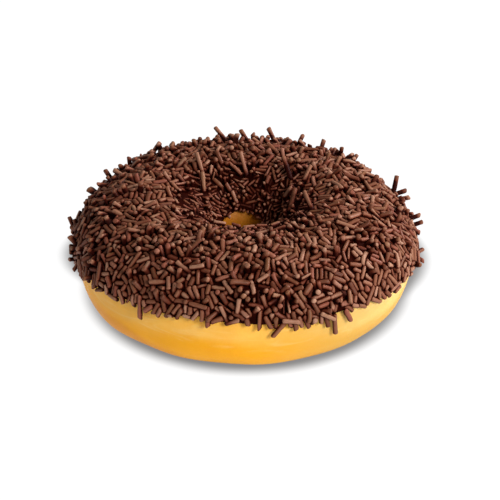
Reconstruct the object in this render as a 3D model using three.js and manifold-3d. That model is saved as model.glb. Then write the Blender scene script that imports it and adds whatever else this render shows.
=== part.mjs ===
// A ring doughnut: a raised, fried dough ring, dipped to its equator in chocolate icing and pressed into
// chocolate sprinkles. Millimetres, +Z up. The origin is under the middle of the ring, on the surface that
// the ring rests on.
import * as THREE from "three";
import { mergeVertices } from "three/addons/utils/BufferGeometryUtils.js";
import Module from "manifold-3d";

const wasm = await Module();
wasm.setup();
const { Manifold, Mesh: SolidMesh } = wasm;

const TURN = 2 * Math.PI;
const rad = THREE.MathUtils.degToRad;

// ---- Driving dimensions of the dough ring
const DOUGH_DIAMETER = 86;
const HOLE_DIAMETER = 15.6;
const DOUGH_HEIGHT = 27;
const EQUATOR_HEIGHT = 13.9; // the widest level, above the flat underside
const UNDERSIDE_SQUARENESS = 3; // superellipse power of the lower half; 2 would be a plain ellipse
const UNDERSIDE_PRESS = 0.5; // how much of the lower half is pressed flat where it was fried and cooled
const HOLE_OFFSET = 0.5; // the hole sits this far towards +X from the middle of the outline

// ---- Driving dimensions of the icing and its sprinkles
const GAP = 0.3; // between the dough and the icing over it
const COAT_THICKNESS = 2.3; // icing with the sprinkles that are bedded in it
const COAT_RELIEF = 0.35; // how far the bedded sprinkles make the coat rise and fall
const COAT_EDGE_ROUND = 2.2; // breadth of the rounded lip along the coat's two edges
const COAT_EDGE_TUCK = 1.3; // how far the lip's last row dives under the dough's surface
const OUTER_EDGE = 6; // degrees round the tube, above the equator, where the coat ends on the outside
const INNER_EDGE = 163; // the same angle, counted on over the top, where it ends inside the hole
const SPRINKLE_DIAMETER = 1.4;
const SPRINKLE_LENGTH = 4.8;
const SPRINKLE_LENGTH_SPREAD = 1.6;
const SPRINKLE_SIDES = 6;
const SPRINKLE_SPACING = 5.9; // between the fused sprinkles that lie on top of the coat
const STANDING_SHARE = 0.2; // of those sprinkles, the share that stands up out of the coat
const SEED = 22;

// ---- How fine the faceted surfaces are
const DOUGH_SEGMENTS_ROUND = 56;
const DOUGH_SEGMENTS_ACROSS = 22;
const COAT_SEGMENTS_ROUND = 60;
const COAT_SEGMENTS_ACROSS = 9; // between the two lips
const SLIVER = 0.05; // corners closer than this are merged after the sprinkles are joined on

// Slow waves round the ring: [waves in a turn, amplitude, phase]. Hand-laid dough is never quite round.
const OUTLINE_WAVES = [[2, 0.25, 0.2], [3, 0.15, 1.2], [5, 0.1, 1.2]]; // mm on the outer radius
const CROWN_WAVES = [[1, 0.35, 2.6], [2, 0.3, 0.4], [4, 0.2, 1.7]]; // mm on the height of the top
const OUTER_EDGE_WAVES = [[1, 3, 2], [2, 5, -2.85], [5, 1.5, -2.7], [9, 0.8, 2.9], [14, 0.8, 0.3]]; // degrees
const INNER_EDGE_WAVES = [[1, 2, 1.4], [3, 5, -2.1]]; // degrees

// Sprinkles that hang over the coat's outer edge: [azimuth, degrees above the equator, lean from straight
// down, length].
const HANGING_SPRINKLES = [
  [-126, 11, 9, 6],
  [-120, 15, -21, 3.4],
  [-102, 17, 5, 5],
  [-79, 6, -42, 5.2],
  [-74, 12, 8, 5],
  [-70, 9, 20, 3.6],
  [-63, 6, 12, 4],
  [-60, -1, 5, 5.8],
  [-55, 4, 25, 4],
  [-32, 6, -86, 5.2],
  [20, -1, 12, 5],
  [66, 5, -20, 5.2],
  [118, 3, 30, 4.8],
  [163, -1, -12, 5],
];

const RING_RADIUS = (DOUGH_DIAMETER + HOLE_DIAMETER) / 4;
const TUBE_HALF_WIDTH = (DOUGH_DIAMETER - HOLE_DIAMETER) / 4;
const CROWN_HEIGHT = DOUGH_HEIGHT - EQUATOR_HEIGHT;
const TUBE_RADIUS = (TUBE_HALF_WIDTH + CROWN_HEIGHT) / 2; // of the round upper half, on average

const waveSum = (waves, angle) =>
  waves.reduce((sum, [count, amplitude, phase]) => sum + amplitude * Math.cos(count * angle + phase), 0);

// The dough's cross-section at azimuth u, at angle t round the tube: 0 is the outer equator, a quarter turn
// is the top and half a turn is inside the hole. Gives the distance from the axis and the height. The upper
// half is an ellipse and the lower half a superellipse, pressed flat underneath.
function sectionPoint(u, t) {
  const outer = RING_RADIUS + TUBE_HALF_WIDTH + waveSum(OUTLINE_WAVES, u);
  const inner = RING_RADIUS - TUBE_HALF_WIDTH + HOLE_OFFSET * Math.cos(u);
  const c = Math.cos(t);
  const s = Math.sin(t);
  const rise = s >= 0 ? CROWN_HEIGHT + waveSum(CROWN_WAVES, u) : EQUATOR_HEIGHT + UNDERSIDE_PRESS;
  const power = s >= 0 ? 2 : UNDERSIDE_SQUARENESS;
  const size = (Math.abs(c) ** power + Math.abs(s) ** power) ** (1 / power);
  const radius = (outer + inner) / 2 + (((outer - inner) / 2) * c) / size;
  return [radius, Math.max(0, EQUATOR_HEIGHT + (rise * s) / size)];
}

function doughPoint(u, t) {
  const [radius, height] = sectionPoint(u, t);
  return new THREE.Vector3(radius * Math.cos(u), radius * Math.sin(u), height);
}

// The dough's surface at (u, t) with its own axes: round the ring, over the tube, and out of the dough.
function surfaceFrame(u, t) {
  const step = 1e-3;
  const point = doughPoint(u, t);
  const round = doughPoint(u + step, t).sub(doughPoint(u - step, t)).normalize();
  const over = doughPoint(u, t + step).sub(doughPoint(u, t - step)).normalize();
  const out = round.clone().cross(over).normalize();
  return { point, round, over, out };
}

// A closed ring of quads from a grid of points that wraps both ways: rows[i][j] is point j of section i.
function ringGeometry(sections) {
  const across = sections[0].length;
  const positions = sections.flat().flatMap((p) => p.toArray());
  const index = [];
  for (let i = 0; i < sections.length; i++) {
    for (let j = 0; j < across; j++) {
      const a = i * across + j;
      const b = ((i + 1) % sections.length) * across + j;
      const c = ((i + 1) % sections.length) * across + ((j + 1) % across);
      const d = i * across + ((j + 1) % across);
      index.push(a, b, c, a, c, d);
    }
  }
  const geometry = new THREE.BufferGeometry();
  geometry.setAttribute("position", new THREE.Float32BufferAttribute(positions, 3));
  geometry.setIndex(index);
  return geometry;
}

// ---- The dough ring, or the same ring grown outwards by lift
function doughGeometry(lift = 0) {
  const sections = [];
  for (let i = 0; i < DOUGH_SEGMENTS_ROUND; i++) {
    const u = (TURN * i) / DOUGH_SEGMENTS_ROUND;
    const section = [];
    for (let j = 0; j < DOUGH_SEGMENTS_ACROSS; j++) {
      // half a step round, so that the tube's top and its two equators fall between rows alike
      const t = (TURN * (j + 0.5)) / DOUGH_SEGMENTS_ACROSS;
      const { point, out } = surfaceFrame(u, t);
      section.push(point.addScaledVector(out, lift));
    }
    sections.push(section);
  }
  return ringGeometry(sections);
}

// ---- The coat: icing with the sprinkles bedded in it
const outerEdge = (u) => rad(OUTER_EDGE + waveSum(OUTER_EDGE_WAVES, u));
const innerEdge = (u) => rad(INNER_EDGE + waveSum(INNER_EDGE_WAVES, u));

// How far the coat stands off the dough. Past either edge it dives under the dough's surface.
function coatLift(u, t) {
  const inFromEdge = Math.min(t - outerEdge(u), innerEdge(u) - t) * TUBE_RADIUS;
  if (inFromEdge <= 0) return -COAT_EDGE_TUCK;
  const share = Math.min(inFromEdge / COAT_EDGE_ROUND, 1);
  const lip = Math.sqrt(1 - (1 - share) ** 2);
  const relief = Math.sin(11 * u + 5 * t) * Math.sin(6 * t - 5 * u) + 0.5 * Math.sin(13 * u - 4 * t);
  return COAT_THICKNESS * lip + COAT_RELIEF * relief * share;
}

// Where the rows of the coat lie, from its outer edge to its inner one: a few close rows shape each lip.
function coatRows(breadth) {
  const lip = [-0.6, 0, 0.25, 0.8, COAT_EDGE_ROUND];
  const rows = [...lip];
  const middle = breadth - 2 * COAT_EDGE_ROUND;
  for (let k = 1; k < COAT_SEGMENTS_ACROSS; k++) {
    rows.push(COAT_EDGE_ROUND + (middle * k) / COAT_SEGMENTS_ACROSS);
  }
  rows.push(...lip.map((x) => breadth - x).reverse());
  return rows;
}

function coatGeometry() {
  const sections = [];
  for (let i = 0; i < COAT_SEGMENTS_ROUND; i++) {
    const u = (TURN * i) / COAT_SEGMENTS_ROUND;
    const from = outerEdge(u);
    const section = coatRows((innerEdge(u) - from) * TUBE_RADIUS).map((distance) => {
      const t = from + distance / TUBE_RADIUS;
      const { point, out } = surfaceFrame(u, t);
      return point.addScaledVector(out, coatLift(u, t));
    });
    // The section closes through the middle of the dough, which is cut away afterwards.
    section.push(new THREE.Vector3(RING_RADIUS * Math.cos(u), RING_RADIUS * Math.sin(u), EQUATOR_HEIGHT / 2));
    sections.push(section);
  }
  return ringGeometry(sections);
}

// ---- Sprinkles
function sprinkleGeometry({ u, t, lift, spin, tilt, length }) {
  const { point, round, over, out } = surfaceFrame(u, t);
  const axis = round.clone().multiplyScalar(Math.cos(spin)).addScaledVector(over, Math.sin(spin));
  axis.multiplyScalar(Math.cos(tilt)).addScaledVector(out, Math.sin(tilt)).normalize();
  const turn = new THREE.Quaternion().setFromUnitVectors(new THREE.Vector3(0, 1, 0), axis);
  const radius = SPRINKLE_DIAMETER / 2;
  const geometry = new THREE.CylinderGeometry(radius, radius, length, SPRINKLE_SIDES);
  return geometry.applyQuaternion(turn).translate(...point.addScaledVector(out, lift).toArray());
}

// Sprinkles on top of the coat, in rows over the tube, each row with as many as its own girth has room for.
function scatteredSprinkles() {
  THREE.MathUtils.seededRandom(SEED);
  const random = THREE.MathUtils.seededRandom;
  const placed = [];
  const rows = Math.round((rad(INNER_EDGE - OUTER_EDGE) * TUBE_RADIUS) / SPRINKLE_SPACING);
  for (let row = 0; row < rows; row++) {
    const share = (row + 0.5) / rows;
    const [girthRadius] = sectionPoint(0, THREE.MathUtils.lerp(rad(OUTER_EDGE), rad(INNER_EDGE), share));
    const count = Math.round((TURN * girthRadius) / SPRINKLE_SPACING);
    for (let k = 0; k < count; k++) {
      const u = (TURN * (k + 0.5 * (row % 2) + 0.5 * random())) / count;
      const t = THREE.MathUtils.lerp(outerEdge(u), innerEdge(u), share + (0.5 * (random() - 0.5)) / rows);
      const length = SPRINKLE_LENGTH + SPRINKLE_LENGTH_SPREAD * (2 * random() - 1);
      const stands = random() < STANDING_SHARE;
      const tilt = stands ? rad(35 + 35 * random()) : rad(14 * (random() - 0.5));
      const rise = stands ? 0.25 * length * Math.sin(tilt) : 0.25 * SPRINKLE_DIAMETER;
      placed.push({ u, t, lift: coatLift(u, t) + rise, spin: TURN * random(), tilt, length });
    }
  }
  return placed;
}

// Sprinkles that cling to the coat's outer lip and reach down over bare dough.
function hangingSprinkles() {
  return HANGING_SPRINKLES.map(([azimuth, above, lean, length]) => ({
    u: rad(azimuth),
    t: rad(above),
    lift: GAP + 0.7 * SPRINKLE_DIAMETER,
    spin: rad(90 + lean),
    tilt: 0,
    length,
  }));
}

// ---- Joining and cutting
function solidFrom(geometry) {
  const bare = geometry.clone();
  bare.deleteAttribute("normal");
  bare.deleteAttribute("uv");
  const merged = mergeVertices(bare, 1e-4);
  const vertProperties = new Float32Array(merged.attributes.position.array);
  const triVerts = new Uint32Array(merged.index.array);
  return new Manifold(new SolidMesh({ numProp: 3, vertProperties, triVerts }));
}

function geometryFrom(solid) {
  const mesh = solid.getMesh();
  const geometry = new THREE.BufferGeometry();
  geometry.setAttribute("position", new THREE.BufferAttribute(new Float32Array(mesh.vertProperties), 3));
  geometry.setIndex(new THREE.BufferAttribute(new Uint32Array(mesh.triVerts), 1));
  geometry.computeVertexNormals();
  return geometry;
}

// The coat and every sprinkle as one solid, cut clear of the dough; a scrap that the cut frees is dropped.
function icingGeometry() {
  const sprinkles = [...scatteredSprinkles(), ...hangingSprinkles()].map(sprinkleGeometry);
  const joined = Manifold.union([coatGeometry(), ...sprinkles].map(solidFrom));
  const clear = joined.subtract(solidFrom(doughGeometry(GAP)));
  const light = solidFrom(geometryFrom(clear)).simplify(SLIVER);
  const [whole] = light.decompose().sort((a, b) => b.volume() - a.volume());
  return geometryFrom(whole);
}

function namedMesh(name, geometry, color, roughness) {
  const material = new THREE.MeshStandardMaterial({ color, roughness, metalness: 0 });
  const mesh = new THREE.Mesh(geometry, material);
  mesh.name = name;
  return mesh;
}

const doughnut = new THREE.Group();
doughnut.name = "sprinkle_doughnut";
doughnut.add(namedMesh("dough", doughGeometry(), 0xe8a94e, 0.55));
doughnut.add(namedMesh("sprinkled_icing", icingGeometry(), 0x5a3426, 0.6));

export default doughnut;
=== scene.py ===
"""A ring doughnut of golden raised dough, dipped in chocolate icing and covered with chocolate sprinkles.

The file is laid out as a Blender add-on. Run as a script, it registers its classes and calls its operators in
order: the dough is shaped, dipped and sprinkled, and then set on a pale studio floor. Lengths are metres.
A place on the dough is given by u, the azimuth round the ring, and t, the angle round the dough's tube: 0 is
the outer equator, a quarter turn is the top, and half a turn is inside the hole.
"""

import math
from dataclasses import dataclass

import bpy
import numpy as np
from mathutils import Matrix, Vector


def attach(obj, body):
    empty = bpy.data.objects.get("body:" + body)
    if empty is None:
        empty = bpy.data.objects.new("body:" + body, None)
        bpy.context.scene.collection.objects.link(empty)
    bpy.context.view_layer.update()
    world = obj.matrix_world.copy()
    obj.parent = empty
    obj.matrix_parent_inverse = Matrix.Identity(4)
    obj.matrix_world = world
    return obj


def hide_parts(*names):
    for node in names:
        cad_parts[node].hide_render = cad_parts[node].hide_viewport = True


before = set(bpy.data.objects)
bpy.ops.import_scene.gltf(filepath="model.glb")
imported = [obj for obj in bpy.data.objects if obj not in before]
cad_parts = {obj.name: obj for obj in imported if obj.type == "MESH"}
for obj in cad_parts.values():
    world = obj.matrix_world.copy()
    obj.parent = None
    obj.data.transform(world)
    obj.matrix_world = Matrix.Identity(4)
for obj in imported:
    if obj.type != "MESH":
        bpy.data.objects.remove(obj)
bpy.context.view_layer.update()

bl_info = {
    "name": "Sprinkle Doughnut",
    "version": (1, 0, 0),
    "blender": (4, 5, 0),
    "location": "View3D > Sidebar > Doughnut",
    "description": "Shapes a ring doughnut, dips it in chocolate icing and covers it with sprinkles",
    "category": "Add Mesh",
}

MM = 0.001
TURN = 2 * math.pi
BODY = "root"

# Slow waves round the ring: (waves in a turn, amplitude, phase). Hand-laid dough is never quite round.
OUTLINE_WAVES = ((2, 0.25 * MM, 0.2), (3, 0.15 * MM, 1.2), (5, 0.1 * MM, 1.2))  # on the outer radius
CROWN_WAVES = ((1, 0.35 * MM, 2.6), (2, 0.3 * MM, 0.4), (4, 0.2 * MM, 1.7))  # on the height of the top
OUTER_EDGE_WAVES = ((1, 3, 2.0), (2, 5, -2.85), (5, 1.5, -2.7), (9, 0.8, 2.9), (14, 0.8, 0.3))  # degrees
INNER_EDGE_WAVES = ((1, 2, 1.4), (3, 5, -2.1))  # degrees

# Sprinkles with places of their own, where they catch the eye. Each row holds, in degrees and millimetres:
# azimuth, angle round the tube, turn in the surface from the way round the ring, tilt out of it, and length.
HANGING_SPRINKLES = (  # over the icing's outer edge
    (-126, 11, 99, 0, 6.0), (-120, 15, 69, 0, 3.4), (-102, 17, 95, 0, 5.0),
    (-79, 6, 48, 0, 5.2), (-74, 12, 98, 0, 5.0), (-70, 9, 110, 0, 3.6),
    (-63, 6, 102, 0, 4.0), (-60, -1, 95, 0, 5.8), (-55, 4, 115, 0, 4.0),
    (-32, 6, 4, 0, 5.2), (20, -1, 102, 0, 5.0), (66, 5, 70, 0, 5.2),
    (118, 3, 120, 0, 4.8), (163, -1, 78, 0, 5.0),
)
RIM_SPRINKLES = (  # long ones round the hole
    (128, 106, 254, 24, 6.8), (142, 124, 236, 22, 5.8), (109, 102, 278, 24, 4.6),
    (91, 113, 285, 24, 7.0), (97, 118, 308, 15, 3.6), (53, 111, 320, 26, 6.8),
    (36, 106, 294, 23, 5.0), (-11, 118, 20, 27, 7.0), (11, 132, 316, 18, 7.0),
    (33, 130, 277, 9, 3.6), (107, 144, 284, 6, 3.8), (112, 134, 287, 9, 2.8),
    (65, 126, 269, 17, 2.4), (123, 128, 293, 6, 3.0),
)
NEAR_RIM_SPRINKLES = (  # heaped on the near side of the hole
    (-114, 118, 12, 4, 3.0), (-99, 121, 152, 6, 2.6), (-87, 118, 24, 3, 3.2),
    (-74, 121, 163, 5, 2.8), (-62, 118, 18, 0, 3.0),
)
SKYLINE_SPRINKLES = (  # standing clear of the rest
    (20, 34, 54, 58, 6.0), (19, 28, 249, 67, 4.6), (16, 26, 251, 63, 4.2),
    (7, 18, 296, 82, 3.8), (6, 12, 38, 88, 3.8), (41, 47, 256, 80, 4.0),
    (56, 53, 275, 84, 4.4), (66, 55, 218, 73, 4.4), (78, 56, 2, 60, 5.6),
    (90, 57, 352, 59, 4.8), (100, 58, 342, 54, 6.4), (130, 48, 147, 34, 6.2),
    (153, 39, 186, 84, 3.9), (158, 25, 240, 75, 3.4), (177, 15, 122, 46, 5.0),
    (-151, 11, 223, 64, 3.0), (47, 50, 100, 62, 4.6),
)
LAID = (  # each table, and how far over the icing the lower ends of its sprinkles lie
    (HANGING_SPRINKLES, -0.4 * MM),
    (RIM_SPRINKLES, 0.3 * MM),
    (NEAR_RIM_SPRINKLES, 1.4 * MM),
    (SKYLINE_SPRINKLES, -0.4 * MM),
)

# Where sprinkles are heaped: azimuth, angle round the tube and reach in degrees, and the share added there.
HEAPS = ((113, 54, 20, 0.7), (42, 47, 14, 0.5), (-90, 117, 24, 2.4))


def srgb(red, green, blue):
    """A colour given as 0 to 255 on screen, as the linear values that Blender stores."""
    def linear(value):
        share = value / 255
        return share / 12.92 if share <= 0.04045 else ((share + 0.055) / 1.055) ** 2.4

    return tuple(linear(value) for value in (red, green, blue))


# ---- What a user would change


def number_setting(name, description, size, **kind):
    """A setting for a number, with the unit or subtype that fits it."""
    return bpy.props.FloatProperty(name=name, description=description, default=size, **kind)


def length_setting(name, description, size):
    """A setting for a length in metres."""
    return number_setting(name, description, size, unit="LENGTH")


def angle_setting(name, description, degrees):
    """A setting for an angle, given in degrees."""
    return number_setting(name, description, math.radians(degrees), subtype="ANGLE")


def colour_setting(name, description, *levels):
    """A setting for a colour, given as 0 to 255 on screen."""
    stored = srgb(*levels)
    return bpy.props.FloatVectorProperty(name=name, description=description, default=stored, subtype="COLOR")


class DoughSettings(bpy.types.PropertyGroup):
    """Sizes and colours of the dough ring."""

    diameter: length_setting("Diameter", "Across the dough at its equator", 86 * MM)
    hole: length_setting("Hole", "Across the hole at its narrowest", 15.6 * MM)
    height: length_setting("Height", "From the underside to the top of the dough", 27 * MM)
    equator: length_setting("Equator", "Height of the widest level", 13.9 * MM)
    squareness: number_setting("Squareness", "Superellipse power of the lower half; 2 is a plain ellipse", 3)
    press: length_setting("Press", "How much of the underside is pressed flat", 0.5 * MM)
    hole_offset: length_setting("Hole offset", "How far the hole sits off the middle, towards +X", 0.5 * MM)
    golden: colour_setting("Golden", "Fried crust", 248, 170, 12)
    pale: colour_setting("Pale", "The band round the middle that floats clear of the oil", 252, 190, 82)
    # This colour is the crust's own in its mottle and at the foot; on the side away from the lamps it is
    # painted shade
    brown_and_side_shade: colour_setting("Brown", "The browner side and the foot", 222, 140, 2)
    # Deep is the crust's own colour underneath; in the hole it is painted shade
    deep: colour_setting("Deep", "The crust inside the hole and underneath", 186, 112, 14)
    # This colour is painted light, on the side towards the lamps
    lit_side_cream: colour_setting("Cream", "The paler side", 214, 166, 72)
    # This colour also serves the pale clouds of painted sheen on the side towards the lamps
    wispy_and_sheen: colour_setting("Wispy", "Faint pale streaks in the band", 255, 226, 156)


class CoatSettings(bpy.types.PropertyGroup):
    """Thickness, edges and colour of the icing."""

    thickness: length_setting("Thickness", "Of the icing without its sprinkles", 0.9 * MM)
    lip: length_setting("Lip", "Breadth of the rounded edge", 0.9 * MM)
    outer_edge: angle_setting("Outer edge", "Angle round the tube where the icing ends on the outside", 6)
    inner_edge: angle_setting("Inner edge", "Angle round the tube where the icing ends in the hole", 163)
    chocolate: colour_setting("Chocolate", "The icing's colour", 32, 4, 1)


class SprinkleSettings(bpy.types.PropertyGroup):
    """How many sprinkles there are, and their size and colours."""

    count: bpy.props.IntProperty(
        name="Count", description="Scattered sprinkles on the whole doughnut", default=2650, min=1)
    diameter: length_setting("Diameter", "Mean thickness of a sprinkle", 1.3 * MM)
    length: length_setting("Length", "Commonest length of a sprinkle", 2.6 * MM)
    shortest: length_setting("Shortest", "Length of the broken ones", 1.6 * MM)
    longest: length_setting("Longest", "Length of the longest ones", 5.3 * MM)
    standing: number_setting("Standing", "Share that stands out of the icing", 0.56, subtype="FACTOR")
    seed: bpy.props.IntProperty(name="Seed", description="Picks another scatter", default=1)
    dark: colour_setting("Dark", "The darkest sprinkles", 96, 52, 34)
    mid: colour_setting("Mid", "Most sprinkles", 138, 86, 62)
    light: colour_setting("Light", "The palest sprinkles", 178, 132, 107)
    reddish: colour_setting("Reddish", "Leaning of the warmest sprinkles", 146, 76, 61)
    olive: colour_setting("Olive", "Leaning of the coolest sprinkles", 130, 88, 55)
    # The next two colours are painted shade, laid on where a sprinkle lies deep among the rest or half sunk
    sunk: colour_setting("Sunk", "Where a sprinkle is sunk among the rest and stained by the icing", 44, 7, 3)
    half_shaded: colour_setting("Half_shaded", "Where a sprinkle is half sunk", 102, 45, 27)


class StageSettings(bpy.types.PropertyGroup):
    """Floor, light and camera."""

    floor: colour_setting("Floor", "What the lit floor reflects", 60, 60, 62)
    shade: colour_setting("Shade", "The floor right under the doughnut", 134, 134, 134)
    glow: number_setting("Glow", "Light that the floor gives off, as a lit table does", 1.0)
    sky: number_setting("Sky", "Strength of the even light all round", 0.2)
    key: number_setting("Key", "Power of the lamp on the right, a little behind", 5.9, subtype="POWER")
    fill: number_setting("Fill", "Power of the lamp in front, to the right", 4.6, subtype="POWER")
    elevation: angle_setting("Elevation", "The camera's angle above the horizon", 30.33)
    distance: length_setting("Distance", "From the camera to the middle of the ring", 500 * MM)
    lens: number_setting("Lens", "Focal length on a 36 mm sensor, in millimetres", 137.84)


SETTINGS = {
    "doughnut_dough": DoughSettings,
    "doughnut_coat": CoatSettings,
    "doughnut_sprinkles": SprinkleSettings,
    "doughnut_stage": StageSettings,
}


# ---- The form of the dough and the icing


PROBE = 1e-3  # radians between the points that a slope is measured over
SHORTEST_VECTOR = 1e-12
RELIEF_SEED, RELIEF_WAVES = 3, 14
RELIEF_ROUND, RELIEF_OVER = (2, 15), (-5, 6)  # waves in a turn, round the ring and round the tube
RELIEF_SIZES = (0.02, 0.06)  # millimetres


def wave_sum(waves, angle):
    """The sum of the waves at each angle."""
    return sum(size * np.cos(count * angle + phase) for count, size, phase in waves)


def unit(vectors):
    """The vectors at length 1."""
    return vectors / np.maximum(np.linalg.norm(vectors, axis=-1, keepdims=True), SHORTEST_VECTOR)


def smooth_step(low, high, values):
    """0 where the values are low and 1 where they are high, with a smooth step between."""
    share = np.clip((values - low) / (high - low), 0, 1)
    return share * share * (3 - 2 * share)


def dot(a, b):
    """The dot product of each pair of vectors."""
    return np.sum(a * b, axis=-1)


class Ring:
    """The dough's surface, and where the icing covers it."""

    def __init__(self, dough, coat):
        self.ring_radius = (dough.diameter + dough.hole) / 4
        self.half_width = (dough.diameter - dough.hole) / 4
        self.crown = dough.height - dough.equator
        self.equator = dough.equator
        self.squareness = dough.squareness
        self.depth = dough.equator + dough.press
        self.hole_offset = dough.hole_offset
        self.tube_radius = (self.half_width + self.crown) / 2
        self.coat = coat

    def measures(self, u):
        """At azimuth u: how far the tube's middle is from the axis, half its width, and its rise."""
        outer = self.ring_radius + self.half_width + wave_sum(OUTLINE_WAVES, u)
        inner = self.ring_radius - self.half_width + self.hole_offset * np.cos(u)
        return (outer + inner) / 2, (outer - inner) / 2, self.crown + wave_sum(CROWN_WAVES, u)

    def point(self, u, t):
        """The points on the dough at u and t."""
        middle, half_width, crown = self.measures(u)
        c, s = np.cos(t), np.sin(t)
        power = np.where(s >= 0, 2, self.squareness)
        size = (np.abs(c) ** power + np.abs(s) ** power) ** (1 / power)
        radius = middle + half_width * c / size
        height = np.maximum(self.equator + np.where(s >= 0, crown, self.depth) * s / size, 0)
        return np.stack([radius * np.cos(u), radius * np.sin(u), height], axis=-1)

    def axes(self, u, t):
        """The surface's own axes at u and t: round the ring, over the tube, and out of the dough."""
        around = unit(self.point(u + PROBE, t) - self.point(u - PROBE, t))
        over = unit(self.point(u, t + PROBE) - self.point(u, t - PROBE))
        return around, over, unit(np.cross(around, over))

    def direction(self, u, t, spin, tilt):
        """The way turned by spin in the surface, from the way round the ring, and tilted out of it."""
        around, over, out = self.axes(u, t)
        flat = around * np.cos(spin)[:, None] + over * np.sin(spin)[:, None]
        return unit(flat * np.cos(tilt)[:, None] + out * np.sin(tilt)[:, None])

    def over_dough(self, points):
        """For points near the dough: u, t, how far out of the dough they lie, and the way out."""
        u = np.arctan2(points[..., 1], points[..., 0])
        middle, half_width, crown = self.measures(u)
        across = (np.hypot(points[..., 0], points[..., 1]) - middle) / half_width
        rise = points[..., 2] - self.equator
        span = np.where(rise >= 0, crown, self.depth)
        power = np.where(rise >= 0, 2, self.squareness)
        up = rise / span
        size = (np.abs(across) ** power + np.abs(up) ** power) ** (1 / power)
        slope_out = np.sign(across) * (np.abs(across) / size) ** (power - 1) / half_width
        slope_up = np.sign(up) * (np.abs(up) / size) ** (power - 1) / span
        slope = np.hypot(slope_out, slope_up)
        away = slope_out / slope
        out = np.stack([away * np.cos(u), away * np.sin(u), slope_up / slope], axis=-1)
        return u, np.arctan2(up, across), (size - 1) / slope, out

    def outer_edge(self, u):
        """The angle round the tube where the icing ends on the outside."""
        return self.coat.outer_edge + np.radians(wave_sum(OUTER_EDGE_WAVES, u))

    def inner_edge(self, u):
        """The angle round the tube where the icing ends inside the hole."""
        return self.coat.inner_edge + np.radians(wave_sum(INNER_EDGE_WAVES, u))

    def relief(self, u, t):
        """The soft dents and swellings of hand-laid dough, in metres."""
        draw = np.random.default_rng(RELIEF_SEED)
        total = 0
        for _ in range(RELIEF_WAVES):
            round_count, over_count = draw.integers(*RELIEF_ROUND), draw.integers(*RELIEF_OVER)
            phase, size = draw.uniform(0, TURN), draw.uniform(*RELIEF_SIZES) * MM
            total = total + size * np.cos(round_count * u + over_count * t + phase)
        return total


def read_ring(scene):
    """The ring as the settings describe it."""
    return Ring(scene.doughnut_dough, scene.doughnut_coat)


# ---- Meshes


def grid_faces(rows, columns, close_rows=True):
    """Quads between the points of a grid. Each row closes on itself, and the last row may join the first."""
    i, j = np.meshgrid(np.arange(rows if close_rows else rows - 1), np.arange(columns), indexing="ij")
    i, j = i.ravel(), j.ravel()
    after_i, after_j = (i + 1) % rows, (j + 1) % columns
    corners = [(i, j), (after_i, j), (after_i, after_j), (i, after_j)]
    return np.stack([a * columns + b for a, b in corners], axis=-1)


def new_object(name, data):
    """An object of this data, in the scene."""
    made = bpy.data.objects.new(name, data)
    bpy.context.scene.collection.objects.link(made)
    return made


def smooth_object(name, vertices, faces, material):
    """A smooth-shaded mesh object from arrays of points and faces."""
    mesh = bpy.data.meshes.new(name)
    mesh.from_pydata(vertices.reshape(-1, 3).tolist(), [], faces)
    mesh.materials.append(material)
    mesh.shade_smooth()
    return new_object(name, mesh)


def fit_to_frame(piece, node):
    """The piece rides on the doughnut's only body and stands for a CAD node, which it hides."""
    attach(piece, BODY)
    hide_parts(node)


# ---- Shader expressions


class Signal:
    """A node's output in an expression. Arithmetic on it adds Math nodes to its material."""

    def __init__(self, finish, socket):
        self.finish = finish
        self.socket = socket

    def math(self, operation, *values):
        """A Math node on these values."""
        return self.finish.add("ShaderNodeMath", {"operation": operation}, dict(enumerate(values)))["Value"]

    def __add__(self, other):
        return self.math("ADD", self, other)

    def __sub__(self, other):
        return self.math("SUBTRACT", self, other)

    def __mul__(self, other):
        return self.math("MULTIPLY", self, other)

    def __rsub__(self, other):
        return self.math("SUBTRACT", other, self)

    __radd__ = __add__
    __rmul__ = __mul__

    def between(self, low, high):
        """0 where this is low and 1 where it is high, with a smooth step between."""
        inputs = {"Value": self, "From Min": low, "From Max": high}
        return self.finish.add("ShaderNodeMapRange", {"interpolation_type": "SMOOTHSTEP"}, inputs)["Result"]


class Node:
    """A node whose outputs are read by name, as signals."""

    def __init__(self, finish, node):
        self.finish = finish
        self.node = node

    def __getitem__(self, output):
        return Signal(self.finish, self.node.outputs[output])


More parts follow.
